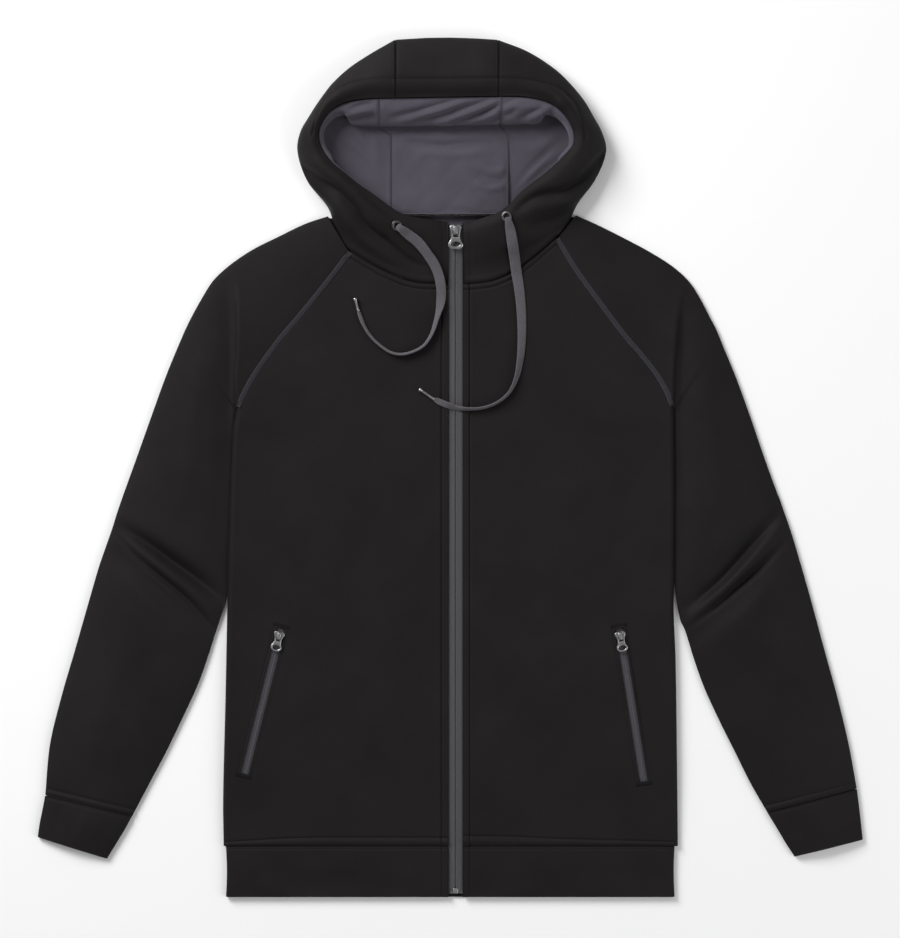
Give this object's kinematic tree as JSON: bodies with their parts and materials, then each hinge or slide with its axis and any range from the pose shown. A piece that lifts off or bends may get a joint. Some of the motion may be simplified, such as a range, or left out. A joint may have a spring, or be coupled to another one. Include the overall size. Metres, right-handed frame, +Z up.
{
  "type": "zip up hoodie laid flat",
  "caption": "Hooded raglan sweatshirt with a full front zip and slanted zip pockets, laid flat on its back, front up, drawcord ends free.",
  "frame": {"origin": "on the surface that the garment lies on, under the zip line, halfway between the hem and the top of the hood", "axes": "+Z up from the surface, towards the viewer of the front; +Y from the hem to the hood; +X towards the wearer's left"},
  "size_m": [0.8667, 0.9017, 0.0345],
  "materials": {
    "shell": "smooth knit face with a soft sheen",
    "rib": "smooth knit face with a soft sheen",
    "lining": "matt jersey",
    "tape": "woven zip tape with a nylon coil",
    "cord": "flat braid",
    "hardware": "dark nickel"
  },
  "bodies": {
    "garment": {"back_panel": "shell", "front_right": "shell", "front_left": "shell", "sleeve_right": "shell", "sleeve_left": "shell", "cuff_right": "rib", "cuff_left": "rib", "waistband": "rib", "hood_centre": "shell", "hood_right": "shell", "hood_left": "shell", "lining_centre": "lining", "lining_right": "lining", "lining_left": "lining", "zip_tape_right": "tape", "zip_tape_left": "tape", "zip_stop": "hardware", "main_slider": "hardware", "pocket_tape_right": "tape", "pocket_tape_left": "tape", "pocket_slider_right": "hardware", "pocket_slider_left": "hardware", "eyelet_right": "hardware", "eyelet_left": "hardware", "drawcord_right": "cord", "drawcord_left": "cord", "cord_tip_right": "hardware", "cord_tip_left": "hardware"},
    "main_pull": {"main_pull": "hardware"},
    "pocket_pull_right": {"pocket_pull_right": "hardware"},
    "pocket_pull_left": {"pocket_pull_left": "hardware"}
  },
  "joints": [
    {"name": "main_pull_lift", "type": "hinge", "parent": "garment", "child": "main_pull", "pos_m": [0, 0.2496, 0.01583], "axis": [-1, 0, 0], "range_deg": [0, 160]},
    {"name": "pocket_pull_right_lift", "type": "hinge", "parent": "garment", "child": "pocket_pull_right", "pos_m": [-0.18532, -0.17621, 0.0086], "axis": [-0.9698, 0.244, 0], "range_deg": [0, 160]},
    {"name": "pocket_pull_left_lift", "type": "hinge", "parent": "garment", "child": "pocket_pull_left", "pos_m": [0.173, -0.17638, 0.00856], "axis": [-0.9875, -0.1575, 0], "range_deg": [0, 160]}
  ]
}
